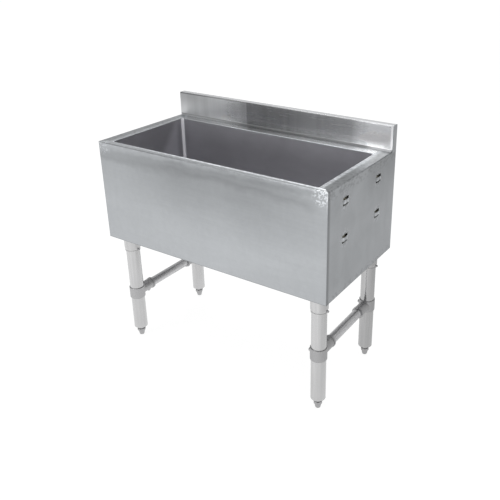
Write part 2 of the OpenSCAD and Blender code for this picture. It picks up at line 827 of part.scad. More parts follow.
module side_rail_left() { side_rail(-1); }
module side_rail_right() { side_rail(1); }

module socket_bolts() {
    shank = plate_t + channel_t + nut_h;
    color(zinc) at_legs() at_bolts() translate([0, 0, z_plate_low]) {
        translate([0, 0, -bolt_head_h])
            cylinder(d = bolt_af / cos(30), h = bolt_head_h, $fn = 6);
        translate([0, 0, -bolt_head_h / 2])
            cylinder(r = bolt_r, h = shank + bolt_head_h / 2, $fn = fine);
    }
}

module socket_nuts() {
    color(zinc) at_legs() at_bolts() translate([0, 0, z_plate + channel_t]) difference() {
        cylinder(d = bolt_af / cos(30), h = nut_h, $fn = 6);
        translate([0, 0, -1]) cylinder(r = bolt_r + tube_fit, h = nut_h + 2, $fn = fine);
    }
}

module socket_set_screws() {
    color(zinc) at_legs() translate([0, 0, z_set_screw]) rotate([0, 90, 0]) difference() {
        translate([0, 0, leg_r]) cylinder(r = set_screw_r, h = set_screw_len, $fn = fine);
        translate([0, 0, leg_r + set_screw_len - hex_depth])
            cylinder(r = set_screw_r / 2, h = hex_depth + 1, $fn = 6);
    }
}

module front_leg_place(side) { translate([side * x_leg, y_leg_front, 0]) children(); }
module rear_leg_place(side) { translate([side * x_leg, y_leg_rear, 0]) children(); }

module socket_front_left() { front_leg_place(-1) socket(); }
module socket_front_right() { front_leg_place(1) socket(); }
module socket_rear_left() { rear_leg_place(-1) socket(); }
module socket_rear_right() { rear_leg_place(1) socket(); }
module leg_front_left() { front_leg_place(-1) leg(); }
module leg_front_right() { front_leg_place(1) leg(); }
module leg_rear_left() { rear_leg_place(-1) leg(); }
module leg_rear_right() { rear_leg_place(1) leg(); }
module insert_front_left() { front_leg_place(-1) insert(); }
module insert_front_right() { front_leg_place(1) insert(); }
module insert_rear_left() { rear_leg_place(-1) insert(); }
module insert_rear_right() { rear_leg_place(1) insert(); }
module foot_front_left() { front_leg_place(-1) foot(); }
module foot_front_right() { front_leg_place(1) foot(); }
module foot_rear_left() { rear_leg_place(-1) foot(); }
module foot_rear_right() { rear_leg_place(1) foot(); }
module clamp_front_left() { front_leg_place(-1) clamp(-1); }
module clamp_front_right() { front_leg_place(1) clamp(1); }
module clamp_rear_left() { rear_leg_place(-1) mirror([0, 1, 0]) clamp(-1); }
module clamp_rear_right() { rear_leg_place(1) mirror([0, 1, 0]) clamp(1); }

front_panel();
left_panel();
right_panel();
back_panel();
bottom_pan();
liner();
backsplash();
splash_end_left();
splash_end_right();
insulation_front();
insulation_back();
insulation_left();
insulation_right();
insulation_bottom();
drain_body();
drain_gasket();
drain_washer();
drain_locknut();
drain_strainer();
leg_channel_left();
leg_channel_right();
socket_front_left();
socket_front_right();
socket_rear_left();
socket_rear_right();
leg_front_left();
leg_front_right();
leg_rear_left();
leg_rear_right();
insert_front_left();
insert_front_right();
insert_rear_left();
insert_rear_right();
foot_front_left();
foot_front_right();
foot_rear_left();
foot_rear_right();
clamp_front_left();
clamp_front_right();
clamp_rear_left();
clamp_rear_right();
side_rail_left();
side_rail_right();
socket_bolts();
socket_nuts();
socket_set_screws();
clamp_screws();
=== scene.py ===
import math

import bmesh
import bpy
from mathutils import Matrix, Vector


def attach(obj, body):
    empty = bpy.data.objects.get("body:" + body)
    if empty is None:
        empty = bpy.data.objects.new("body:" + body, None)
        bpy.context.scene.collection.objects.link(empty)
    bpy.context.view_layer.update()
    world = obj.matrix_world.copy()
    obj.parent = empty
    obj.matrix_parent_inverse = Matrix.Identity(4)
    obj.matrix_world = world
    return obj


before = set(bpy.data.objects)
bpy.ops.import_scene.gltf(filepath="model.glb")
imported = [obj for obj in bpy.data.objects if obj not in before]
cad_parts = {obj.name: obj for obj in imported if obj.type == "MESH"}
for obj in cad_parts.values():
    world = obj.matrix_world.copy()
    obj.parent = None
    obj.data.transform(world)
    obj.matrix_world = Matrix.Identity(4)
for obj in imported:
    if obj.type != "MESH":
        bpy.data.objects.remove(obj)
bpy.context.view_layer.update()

# Camera, fitted to the chest's edges in a 500 x 500 picture
IMAGE_PX = 500
FOCAL_PX = 638.7
CENTRE_PX = (300, 200)
CAMERA_PLACE = (1.2533, -1.6630, 1.4590)
CAMERA_AZIMUTH = math.radians(-31.77)
CAMERA_ELEVATION = math.radians(22.52)
CAMERA_ROLL = math.radians(0.10)
SENSOR_MM = 36.0

# Brightness of the surroundings in reflections, by a part of the direction: from where to where
# it changes, and the brightness at either end
DOME_ALONG_Z = (0.03, 0.50, 0.60, 0.38)
ZENITH_ALONG_Z = (0.60, 0.95, 0.0, 0.45)
BEHIND_ALONG_Y = (0.4, 0.8, 0.0, 0.20)

# White floor, whose glow covers most of its shadow; in reflections the glow fades by the place
# along a direction, with four numbers as above
FLOOR_HALF = 30.0
FLOOR_WHITE = 0.95
FLOOR_ROUGHNESS = 0.9
FLOOR_GLOW = 1.14
FLOOR_GLOW_SHARE = 0.80
FLOOR_FADE_ALONG = (0.7, 0.7, 0.0)
FLOOR_FADE = (-0.3, 1.15, 1.0, 0.62)

# Rectangular lamps: name, place, target, size and power in watts
LAMPS = (
    ("key", (-1.3, -2.6, 2.6), (0, 0, 0.6), (1.6, 1.2), 14),
    ("strip", (-0.68, -2.3, 1.25), (0.42, 0.2, 0.86), (0.35, 0.8), 3),
    ("overhead", (0.0, 0.3, 2.9), (0, 0, 0.5), (2.4, 1.6), 15),
)

# Sizes of the CAD model that the marks on its pieces follow
HALF_LENGTH = 0.4572
HALF_DEPTH = 0.2286
RIM = 0.8  # height of the rim
EDGE = 0.436  # height of the box's bottom edge
FLAT = (RIM - 0.0012, RIM - 0.0004)  # heights between which the rim's bend becomes flat
BOTTOM_BEND = (EDGE + 0.0028, EDGE + 0.0012)  # heights over which the sheets turn in below
BIN_HALF_LENGTH = 0.4132
BIN_HALF_DEPTH = 0.1801
BIN_MIDDLE_Y = -0.0255
OPENING_FRONT = BIN_MIDDLE_Y - BIN_HALF_DEPTH
OPENING_REAR = BIN_MIDDLE_Y + BIN_HALF_DEPTH
OPENING_CORNER_R = 0.003
SPLASH_TOP = 0.8889
SPLASH_FACE = 0.2006
COVE = 0.008  # radius of the cove under the backsplash's face
SKIRT = 0.032  # height of the backsplash's skirt on the rear sheet
LANCE_Y = (-0.1216, 0.0994)
LANCE_Z = (0.740, 0.618)
LANCE_SLOT = 0.010  # from the middle of a lance to its slots
FOOT_THREAD = (0.051, RIM)  # heights between which the feet's stems are threaded
SPIGOT_THREAD = (0.0, 0.440)  # and the drain's spigot

# Welds and threads of the scene itself
EDGE_WELD_R = 0.0015
SPOT_PITCH = 0.076  # distance between the skirt's spot welds
THREAD_PITCH = 0.0018
THREAD_DEPTH = 0.0004

# Distances over which a mark fades in, from outside to inside
SPOT_FADE = (0.0036, 0.0026)  # spot weld
# The marks below carry painted light: glints on the front's weld marks, highlights on the liner's
# welds, light and shade on the lance dents and shade by the slots
CORNER_FADE = (0.036, 0.016)  # weld mark on the front's corners
LINER_WELD_FADE = (0.011, 0.006)  # weld up the liner's corners
LANCE_FADE = (0.040, 0.014)  # dents round a lance
SLOT_FADE = (0.011, 0.006)  # a lance's dark slots

# Speckles of the plain materials: waves a metre, change of colour, depth and strength
SPECK_WAVES = 220
SPECK_CHANGE = 0.1
SPECK_DEPTH = 0.0002
SPECK_STRENGTH = 0.3

# Axes that the grain can run along, and the direction across it on all faces of a sheet
X, Y, Z = 0, 1, 2
ACROSS_X = (0.0, 0.7071, 0.7071)
ACROSS_Y = (0.7071, 0.0, 0.7071)

# Brushed grain: waves a metre along and across it, how much it changes brightness and roughness
# down and up, its depth and strength, and how much wider it smears reflections across it
GRAIN_LONG = 7
GRAIN_FINE = 700
GRAIN_COARSE = 150
GRAIN_SHADE = (-0.028, 0.022)
GRAIN_ROUGH = (-0.04, 0.05)
GRAIN_DEPTH = 0.00002
GRAIN_STRENGTH = 0.4
GRAIN_BLUR = 0.75
SCOUR_ROUGH = 0.12  # how much rougher coarsely ground metal is
CLOUD_TWIST = 0.6  # distortion of clouds and upright streaks

# Cool tint of the box's sheets, and nearly neutral ones of the backsplash and the liner
TINT = (0.965, 1.0, 1.035)
SPLASH_TINT = (0.985, 1.0, 1.02)
LINER_TINT = (0.99, 0.985, 1.025)

# Painted reflection zones of the backsplash's face: from where to where along X they fade in, and
# their brightness
SPLASH_REFLECTION_ZONES = (
    (-0.20, -0.135, 0.72),
    (-0.139, -0.131, 0.63),
    (0.0, 0.14, 1.33),
    (0.27, 0.38, 2.1),
)


def make_camera():
    az, el = CAMERA_AZIMUTH, CAMERA_ELEVATION
    forward = Vector((math.sin(az) * math.cos(el), math.cos(az) * math.cos(el), -math.sin(el)))
    level = Vector((math.cos(az), -math.sin(az), 0))
    upward = level.cross(forward)
    right = level * math.cos(CAMERA_ROLL) + upward * math.sin(CAMERA_ROLL)
    top = upward * math.cos(CAMERA_ROLL) - level * math.sin(CAMERA_ROLL)
    data = bpy.data.cameras.new("camera")
    data.sensor_width = SENSOR_MM
    data.lens = FOCAL_PX / IMAGE_PX * SENSOR_MM
    data.shift_x = (IMAGE_PX / 2 - CENTRE_PX[0]) / IMAGE_PX
    data.shift_y = (CENTRE_PX[1] - IMAGE_PX / 2) / IMAGE_PX
    camera = bpy.data.objects.new("camera", data)
    bpy.context.scene.collection.objects.link(camera)
    turn = Matrix((right, top, -forward)).transposed().to_4x4()
    camera.matrix_world = Matrix.Translation(CAMERA_PLACE) @ turn
    bpy.context.scene.camera = camera


class Shader:
    """Short calls for building one node tree."""

    def __init__(self, tree):
        self.tree = tree

    def node(self, kind, **settings):
        made = self.tree.nodes.new(kind)
        for name, value in settings.items():
            setattr(made, name, value)
        return made

    def link(self, source, target):
        self.tree.links.new(source, target)

    def math(self, operation, a, b=None, c=None):
        made = self.node("ShaderNodeMath", operation=operation)
        for socket, value in zip(made.inputs, (a, b, c)):
            if isinstance(value, (int, float)):
                socket.default_value = value
            elif value is not None:
                self.link(value, socket)
        return made.outputs[0]

    def place(self):
        return self.node("ShaderNodeTexCoord").outputs["Object"]

    def axes(self):
        """The object's own X, Y and Z."""
        apart = self.node("ShaderNodeSeparateXYZ")
        self.link(self.place(), apart.inputs[0])
        return apart.outputs[0], apart.outputs[1], apart.outputs[2]

    def noise(self, scale, detail=2.0, roughness=0.5, distortion=0.0):
        """Noise over the object's own coordinates, scale as waves a metre along X, Y and Z."""
        stretched = self.node("ShaderNodeMapping")
        stretched.inputs["Scale"].default_value = scale
        self.link(self.place(), stretched.inputs["Vector"])
        made = self.node("ShaderNodeTexNoise")
        made.inputs["Scale"].default_value = 1.0
        made.inputs["Detail"].default_value = detail
        made.inputs["Roughness"].default_value = roughness
        made.inputs["Distortion"].default_value = distortion
        self.link(stretched.outputs[0], made.inputs["Vector"])
        return made.outputs["Fac"]

    def spread(self, value, low, high, out_low, out_high, smooth=False):
        """Carry a value from the range low to high over to the range out_low to out_high."""
        made = self.node("ShaderNodeMapRange")
        made.interpolation_type = "SMOOTHSTEP" if smooth else "LINEAR"
        for name, number in (("From Min", low), ("From Max", high),
                             ("To Min", out_low), ("To Max", out_high)):
            made.inputs[name].default_value = number
        self.link(value, made.inputs["Value"])
        return made.outputs[0]

    def mix(self, factor, a, b):
        """Colour between a and b, each of them a colour or a socket."""
        made = self.node("ShaderNodeMix", data_type="RGBA")
        for socket, value in ((made.inputs[0], factor), (made.inputs[6], a), (made.inputs[7], b)):
            if isinstance(value, tuple):
                socket.default_value = (*value, 1.0)
            else:
                self.link(value, socket)
        return made.outputs[2]

    def bump(self, height, distance, strength=1.0, under=None):
        """Normal of a surface with these heights, on top of the normal given as under."""
        made = self.node("ShaderNodeBump")
        made.inputs["Distance"].default_value = distance
        made.inputs["Strength"].default_value = strength
        self.link(height, made.inputs["Height"])
        if under is not None:
            self.link(under, made.inputs["Normal"])
        return made.outputs[0]


class Steel(Shader):
    """Brushed sheet or tube, with its brightness, roughness and share of metal built up in steps.

    The grain runs along the axis; across is the direction in which it smears reflections.
    """

    def __init__(self, name, colour, axis, across, roughness, streak=1.0):
        self.material = bpy.data.materials.new(name)
        self.material.use_nodes = True
        super().__init__(self.material.node_tree)
        self.surface = self.tree.nodes["Principled BSDF"]
        self.surface.inputs["Metallic"].default_value = 1.0
        self.colour = colour
        self.metal = 1.0
        coarse = self.noise(self.grain(axis, GRAIN_COARSE), detail=3.0)
        self.fine = self.noise(self.grain(axis, GRAIN_FINE), detail=1.0)
        self.shade = self.spread(coarse, 0.3, 0.7, *(1 + n * streak for n in GRAIN_SHADE))
        self.rough = self.spread(coarse, 0.25, 0.75,
                                 *(roughness + n * streak for n in GRAIN_ROUGH))
        if across is not None:
            self.surface.inputs["Anisotropic"].default_value = GRAIN_BLUR
            tangent = self.node("ShaderNodeCombineXYZ")
            for socket, value in zip(tangent.inputs, across):
                socket.default_value = value
            self.link(tangent.outputs[0], self.surface.inputs["Tangent"])

    def grain(self, axis, waves):
        return tuple(GRAIN_LONG if n == axis else waves for n in (X, Y, Z))

    def darken(self, factor):
        """Multiply the brightness by a value socket."""
        self.shade = self.math("MULTIPLY", self.shade, factor)

    def tone(self, mask, factor):
        """Multiply the brightness by the factor where the mask is 1."""
        self.darken(self.math("MULTIPLY_ADD", mask, factor - 1, 1.0))

    def roughen(self, mask, amount):
        """Raise the roughness by the amount where the mask is 1."""
        self.rough = self.math("MULTIPLY_ADD", mask, amount, self.rough)

    def scour(self, mask, amount):
        """Where the mask is 1 the metal is ground so coarsely that it scatters light."""
        self.metal = self.math("MULTIPLY_ADD", mask, -amount, self.metal)
        self.roughen(mask, SCOUR_ROUGH)

    def clouds(self, scale, amount, detail=2.0):
        """Soft changes of brightness, by the amount up and down."""
        cloud = self.noise(scale, detail=detail, distortion=CLOUD_TWIST)
        self.darken(self.spread(cloud, 0.3, 0.7, 1.0 - amount, 1.0 + amount))

    def rise(self, value, start, end):
        """0 where a value socket is at start, 1 where it is at end, smooth between."""
        return self.spread(value, start, end, 0.0, 1.0, smooth=True)

    def both(self, *masks):
        """1 where all the masks are."""
        product = masks[0]
        for mask in masks[1:]:
            product = self.math("MULTIPLY", product, mask)
        return product

    def near(self, point, outside, inside):
        """0 beyond the outer distance from a point, 1 within the inner one."""
        away = self.node("ShaderNodeVectorMath", operation="DISTANCE")
        self.link(self.place(), away.inputs[0])
        away.inputs[1].default_value = point
        return self.rise(away.outputs["Value"], outside, inside)

    def nearest(self, value, places):
        """Distance from a value socket to the nearest of the places."""
        away = None
        for place in places:
            gap = self.math("ABSOLUTE", self.math("SUBTRACT", value, place))
            away = gap if away is None else self.math("MINIMUM", away, gap)
        return away

    def length(self, a, b):
        """Length of the line with a and b as its parts along two axes."""
        squares = self.math("MULTIPLY_ADD", a, a, self.math("MULTIPLY", b, b))
        return self.math("SQRT", squares)

    def done(self):
        """Link what was built up to the surface, and give the material."""
        tint = self.node("ShaderNodeMix", data_type="RGBA", blend_type="MULTIPLY")
        tint.inputs[0].default_value = 1.0
        tint.inputs[6].default_value = (*self.colour, 1.0)
        self.link(self.shade, tint.inputs[7])
        self.link(tint.outputs[2], self.surface.inputs["Base Color"])
        self.link(self.rough, self.surface.inputs["Roughness"])
        if self.metal != 1.0:
            self.link(self.metal, self.surface.inputs["Metallic"])
        brushed = self.bump(self.fine, GRAIN_DEPTH, GRAIN_STRENGTH)
        self.link(brushed, self.surface.inputs["Normal"])
        return self.material


def new_material(name, metallic, roughness):
    material = bpy.data.materials.new(name)
    material.use_nodes = True
    surface = material.node_tree.nodes["Principled BSDF"]
    surface.inputs["Metallic"].default_value = metallic
    surface.inputs["Roughness"].default_value = roughness
    return material, Shader(material.node_tree), surface


def plain(name, colour, roughness, metallic=1.0, thread=None):
    """Speckled surface; thread is the height range, in metres, over which it has a screw thread."""
    material, s, surface = new_material(name, metallic, roughness)
    speck = s.noise((SPECK_WAVES, SPECK_WAVES, SPECK_WAVES), detail=3.0)
    dark = tuple(c * (1 - SPECK_CHANGE) for c in colour)
    light = tuple(min(c * (1 + SPECK_CHANGE), 1) for c in colour)
    s.link(s.mix(speck, dark, light), surface.inputs["Base Color"])
    normal = s.bump(speck, SPECK_DEPTH, SPECK_STRENGTH)
    if thread:
        height = s.axes()[2]
        wave = s.math("SINE", s.math("MULTIPLY", height, math.tau / THREAD_PITCH))
        reach = s.math("MULTIPLY", s.math("GREATER_THAN", height, thread[0]),
                       s.math("LESS_THAN", height, thread[1]))
        normal = s.bump(s.math("MULTIPLY", wave, reach), THREAD_DEPTH, under=normal)
    s.link(normal, surface.inputs["Normal"])
    return material


def make_world():
    """White to the camera; in reflections a bright horizon under a darker dome."""
    world = bpy.data.worlds.new("world")
    bpy.context.scene.world = world
    world.use_nodes = True
    s = Shader(world.node_tree)
    background = world.node_tree.nodes["Background"]
    direction = s.node("ShaderNodeSeparateXYZ")
    s.link(s.node("ShaderNodeTexCoord").outputs["Generated"], direction.inputs[0])
    dome = s.spread(direction.outputs["Z"], *DOME_ALONG_Z, smooth=True)
    zenith = s.spread(direction.outputs["Z"], *ZENITH_ALONG_Z, smooth=True)
    behind = s.spread(direction.outputs["Y"], *BEHIND_ALONG_Y, smooth=True)
    reflected = s.math("ADD", s.math("ADD", dome, zenith), behind)
    rays = s.node("ShaderNodeLightPath")
    shown = s.math("MAXIMUM", rays.outputs["Is Camera Ray"], rays.outputs["Is Transmission Ray"])
    s.link(s.mix(shown, reflected, (1, 1, 1)), background.inputs["Color"])
    background.inputs["Strength"].default_value = 1.0


def make_floor():
    """White floor: nearly shadowless to the camera, darker at the back right in reflections."""
    half = FLOOR_HALF
    mesh = bpy.data.meshes.new("floor")
    mesh.from_pydata([(-half, -half, 0), (half, -half, 0), (half, half, 0), (-half, half, 0)],
                     [], [(0, 1, 2, 3)])
    floor = bpy.data.objects.new("floor", mesh)
    bpy.context.scene.collection.objects.link(floor)
    material, s, surface = new_material("floor_white", 0.0, FLOOR_ROUGHNESS)
    surface.inputs["Base Color"].default_value = (FLOOR_WHITE, FLOOR_WHITE, FLOOR_WHITE, 1)
    rays = s.node("ShaderNodeLightPath")
    along = s.node("ShaderNodeVectorMath", operation="DOT_PRODUCT")
    s.link(s.place(), along.inputs[0])
    along.inputs[1].default_value = FLOOR_FADE_ALONG
    fade = s.spread(along.outputs["Value"], *FLOOR_FADE, smooth=True)
    glow = s.node("ShaderNodeEmission")
    s.link(s.mix(rays.outputs["Is Glossy Ray"], (1, 1, 1), fade), glow.inputs["Color"])
    glow.inputs["Strength"].default_value = FLOOR_GLOW
    seen = s.math("MAXIMUM", rays.outputs["Is Camera Ray"], rays.outputs["Is Glossy Ray"])
    seen = s.math("MAXIMUM", seen, rays.outputs["Is Transmission Ray"])
    show = s.node("ShaderNodeMixShader")
    s.link(s.math("MULTIPLY", seen, FLOOR_GLOW_SHARE), show.inputs[0])
    s.link(surface.outputs[0], show.inputs[1])
    s.link(glow.outputs[0], show.inputs[2])
    # Seen from below, the floor isn't there
    below = s.node("ShaderNodeMixShader")
    s.link(s.node("ShaderNodeNewGeometry").outputs["Backfacing"], below.inputs[0])
    s.link(show.outputs[0], below.inputs[1])
    s.link(s.node("ShaderNodeBsdfTransparent").outputs[0], below.inputs[2])
    s.link(below.outputs[0], material.node_tree.nodes["Material Output"].inputs["Surface"])
    mesh.materials.append(material)


def make_lamp(name, place, target, size, power):
    data = bpy.data.lights.new(name, "AREA")
    data.shape = "RECTANGLE"
    data.size, data.size_y = size
    data.energy = power
    lamp = bpy.data.objects.new(name, data)
    lamp.location = place
    aim = Vector(target) - Vector(place)
    lamp.rotation_euler = aim.to_track_quat("-Z", "Y").to_euler()
    bpy.context.scene.collection.objects.link(lamp)


def tinted(level, tint=TINT):
    return tuple(level * t for t in tint)


def front_sheet():
    """Front: a painted reflection, dark up to a wavy height, a painted dark strip below the bend, a
    ground edge and corner welds with painted highlights.
    """
    s = Steel("steel_front", tinted(0.50), X, ACROSS_X, roughness=0.34)
    x, y, z = s.axes()

    # Painted reflection: darker upwards to a wavy height, and lighter again above it
    wave = s.spread(s.noise((5.5, 1, 9.0), detail=3.0, roughness=0.6), 0.3, 0.7, -0.5, 0.5)
    height = s.math("MULTIPLY_ADD", wave, 0.035, z)
    aside = s.math("ABSOLUTE", s.math("SUBTRACT", x, 0.05))
    middle = s.spread(aside, 0.12, 0.45, 1.0, 0.35, smooth=True)
    painted_dark_reflection = s.rise(height, RIM - 0.280, RIM - 0.045)
    above = s.rise(height, RIM - 0.048, RIM - 0.030)
    s.tone(s.both(painted_dark_reflection, middle), 0.72)
    s.tone(s.both(above, middle), 1.12)

    # Painted shade: a dark strip under the bend, and a darker right half of what is above it
    painted_shade_band = s.both(s.rise(height, RIM - 0.074, RIM - 0.040),
                  s.rise(height, RIM - 0.013, RIM - 0.027), s.rise(x, 0.46, 0.37))
    dull = s.both(s.rise(z, RIM - 0.030, RIM - 0.015), s.rise(x, -0.05, 0.30),
                  s.rise(x, 0.45, 0.40))
    s.tone(painted_shade_band, 0.82)
    s.tone(dull, 0.84)

    # Wide and vertical clouds; painted shade on the right half and on the turn of the bottom edge
    s.clouds((2.5, 2.5, 10.0), 0.035, detail=3.0)
    s.clouds((24.0, 24.0, 1.5), 0.010)
    s.tone(s.rise(x, 0.05, 0.40), 0.955)
    s.tone(s.rise(z, *BOTTOM_BEND), 0.72)

    # The flat rim with painted light, flecked, and a white ground edge along the opening, partly a
    # painted highlight
    flat = s.rise(z, *FLAT)
    flecks = s.rise(s.noise((60, 150, 150), detail=3.0), 0.48, 0.58)
    edge = s.both(flat, s.rise(y, OPENING_FRONT - 0.012, OPENING_FRONT - 0.007),
                  s.rise(x, -0.45, 0.10), s.spread(flecks, 0.0, 1.0, 0.6, 1.0))
    s.tone(flat, 1.45)
    s.tone(s.both(flecks, s.rise(z, RIM - 0.012, RIM - 0.006)), 1.12)
    s.tone(edge, 1.85)
    s.scour(edge, 0.9)
    s.clouds((60.0, 60.0, 60.0), 0.02)

    # The right corner's ground joint, partly a painted highlight, and painted shade on the right
    # half of the bend
    ground_seam_highlight = s.both(s.rise(x, HALF_LENGTH - 0.006, HALF_LENGTH - 0.002),
                  s.rise(z, RIM - 0.08, RIM - 0.03))
    bend = s.both(s.rise(z, RIM - 0.005, RIM - 0.003), s.rise(z, FLAT[1], FLAT[0]),
                  s.rise(x, 0.1, 0.4))
    s.tone(ground_seam_highlight, 1.5)
    s.scour(ground_seam_highlight, 0.5)
    s.tone(bend, 0.92)

    # The weld marks at both corners with painted glints, stronger at the right one
    spots = s.rise(s.noise((150, 150, 150), detail=2.0), 0.49, 0.57)
    for side, factor in ((1, 1.8), (-1, 1.4)):
        corner = s.near((side * (HALF_LENGTH - 0.024), -HALF_DEPTH, RIM - 0.018), *CORNER_FADE)
        mark = s.both(corner, spots)
        s.tone(mark, factor)
        s.scour(mark, 0.3)
    return s.done()


def back_sheet():
    """Back: plain mill finish with soft vertical handling marks."""
    s = Steel("steel_back", tinted(0.52), X, ACROSS_X, roughness=0.36)
    s.clouds((3.0, 3.0, 8.0), 0.04, detail=3.0)
    s.clouds((16.0, 16.0, 1.5), 0.02)
    return s.done()


def side_sheet():
    """Sides: rim ground bright by the opening, partly a painted highlight; painted shade along the
    edges; scuffs along both edges; painted light and shade by the lances.
    """
    # A darker copy of the front's steel, as painted shade
    s = Steel("steel_side", tinted(0.46), Y, ACROSS_Y, roughness=0.34)
    x, y, z = s.axes()
    from_middle = s.math("ABSOLUTE", x)
    s.clouds((2.5, 3.5, 9.0), 0.045, detail=3.0)
    s.clouds((15.0, 15.0, 11.0), 0.045, detail=3.0)
    s.clouds((20.0, 20.0, 1.5), 0.020)

    # The flat rim: ground streaks along the opening with painted highlights, more on the right than
    # on the left
    streaks = s.noise((25, 420, 25), detail=2.0)
    flat = s.rise(z, *FLAT)
    right = s.rise(x, -0.1, 0.1)
    flat_left = s.both(flat, s.rise(x, 0.1, -0.1))
    inner = s.both(flat, s.rise(from_middle, BIN_HALF_LENGTH + 0.017, BIN_HALF_LENGTH + 0.009),
                   s.spread(streaks, 0.40, 0.60, 0.25, 1.0))
    outer = s.both(right, s.rise(z, RIM - 0.004, RIM - 0.002),
                   s.rise(from_middle, BIN_HALF_LENGTH + 0.012, BIN_HALF_LENGTH + 0.022))
    s.tone(s.both(inner, right), 2.15)
    s.scour(s.both(inner, right, s.rise(streaks, 0.40, 0.55)), 0.9)
    s.tone(s.both(inner, flat_left), 1.55)
    # Painted light on the rear of the left rim
    s.tone(s.both(flat_left, s.rise(y, 0.0, 0.18)), 1.5)
    # Painted shade on the outer part of the right rim
    s.tone(outer, 0.84)

    # Painted shade by the front edge, along the bottom edge and in the upper rear
    painted_shade_upper_rear = s.both(s.rise(y, -0.06, 0.10), s.rise(z, RIM - 0.17, RIM - 0.03))
    s.tone(s.rise(y, -HALF_DEPTH + 0.017, -HALF_DEPTH + 0.007), 0.62)
    s.tone(s.rise(z, *BOTTOM_BEND), 0.78)
    s.tone(painted_shade_upper_rear, 0.78)

    # Scuffs under the rim and above the bottom edge
    marks = s.rise(s.noise((75, 75, 110), detail=3.0), 0.50, 0.58)
    s.tone(s.both(marks, s.rise(z, RIM - 0.040, RIM - 0.022)), 0.80)
    s.tone(s.both(marks, s.rise(z, EDGE + 0.030, EDGE + 0.010)), 0.84)

    # Round each lance dents in painted light and shade, painted shade by the slots and a painted
    # highlight on the bridge
    dents = s.rise(s.noise((120, 120, 120), detail=3.0), 0.42, 0.58)
    aside = s.nearest(y, LANCE_Y)
    above = s.nearest(z, LANCE_Z)
    pressed = s.rise(s.length(aside, above), *LANCE_FADE)
    slots = s.rise(s.length(aside, s.math("SUBTRACT", above, LANCE_SLOT)), *SLOT_FADE)
    bridges = s.rise(from_middle, HALF_LENGTH + 0.0010, HALF_LENGTH + 0.0025)
    s.tone(s.both(pressed, s.math("SUBTRACT", 1.0, dents)), 1.22)
    s.tone(s.both(pressed, dents), 0.88)
    s.tone(slots, 0.62)
    s.tone(bridges, 1.3)
    return s.done()


def splash_sheet():
    """Backsplash: a painted reflection on its face falls off to the middle, is dark there and light
    again at the right.
    """
    s = Steel("steel_splash", tinted(0.80, SPLASH_TINT), X, ACROSS_X, roughness=0.27, streak=0.15)
    x, y, z = s.axes()
    front = s.rise(y, SPLASH_FACE + 0.002, SPLASH_FACE + 0.001)
    face = s.both(front, s.rise(z, RIM + COVE * 0.6, RIM + COVE))
    # Painted reflection: the face is lighter steel than the rest of the sheet
    s.tone(s.math("SUBTRACT", 1.0, face), 0.60)

    # Painted reflection on the face: a darker left end, zones along X and a lighter lower part;
    # painted shade along its foot
    left = s.both(face, s.rise(x, -0.20, -0.38))
    s.tone(left, 0.55)
    s.roughen(left, 0.10)
    for start, end, factor in SPLASH_REFLECTION_ZONES:
        s.tone(s.both(face, s.rise(x, start, end)), factor)
    painted_shade_span = s.both(s.rise(x, -0.25, -0.10), s.rise(x, 0.39, 0.35))
    s.tone(s.both(face, s.rise(z, SPLASH_TOP - 0.010, RIM + 0.015)), 1.5)
    s.tone(s.both(face, painted_shade_span, s.rise(z, RIM + 0.028, RIM + 0.012)), 0.58)

    # Clouds over all of it, and upright streaks of two widths on the face
    s.clouds((6.0, 3.0, 4.0), 0.035, detail=3.0)
    for waves in (11.0, 38.0):
        streak = s.rise(s.noise((waves, 3.0, 1.5), distortion=CLOUD_TWIST), 0.35, 0.65)
        s.tone(s.both(face, streak), 0.91)

    # Painted light and shade on the ledge behind the bin and on the cove between it and the face
    ledge = s.both(front, s.rise(z, RIM + COVE * 0.5, RIM + COVE * 0.2))
    cove = s.both(front, s.rise(y, SPLASH_FACE - COVE, SPLASH_FACE - COVE * 0.6),
                  s.rise(z, RIM + COVE, RIM + COVE * 0.6))
    s.tone(ledge, 0.80)
    s.tone(s.both(ledge, s.rise(x, 0.04, 0.36)), 1.5)
    s.tone(s.both(ledge, s.rise(x, -0.10, -0.38)), 2.0)
    s.tone(cove, 0.80)
    s.tone(s.both(cove, painted_shade_span), 0.50)
    s.roughen(cove, 0.12)

    # Painted shade on the bend under the top edge, a painted highlight on the edge itself, and the
    # ground joint at the right end, partly a painted highlight
    ground_seam_highlight = s.both(front, s.rise(x, HALF_LENGTH - 0.010, HALF_LENGTH - 0.006))
    s.tone(s.both(front, s.rise(z, SPLASH_TOP - 0.006, SPLASH_TOP - 0.003)), 0.6)
    s.tone(s.rise(z, SPLASH_TOP - 0.0008, SPLASH_TOP - 0.0003), 1.8)
    s.tone(ground_seam_highlight, 1.3)
    s.scour(ground_seam_highlight, 0.7)

    # The skirt's spot welds
    along = s.math("PINGPONG", x, SPOT_PITCH / 2)
    above = s.math("SUBTRACT", z, RIM - SKIRT / 2)
    spot = s.both(s.rise(y, HALF_DEPTH - 0.002, HALF_DEPTH - 0.001),
                  s.rise(s.length(along, above), *SPOT_FADE))
    s.tone(spot, 0.72)
    s.roughen(spot, 0.15)
    return s.done()


def end_sheet():
    """End caps of the backsplash, in a darker copy of the steel as painted shade."""
    s = Steel("steel_end", tinted(0.40), Y, ACROSS_Y, roughness=0.34)
    s.clouds((9.0, 9.0, 9.0), 0.04, detail=3.0)
    return s.done()


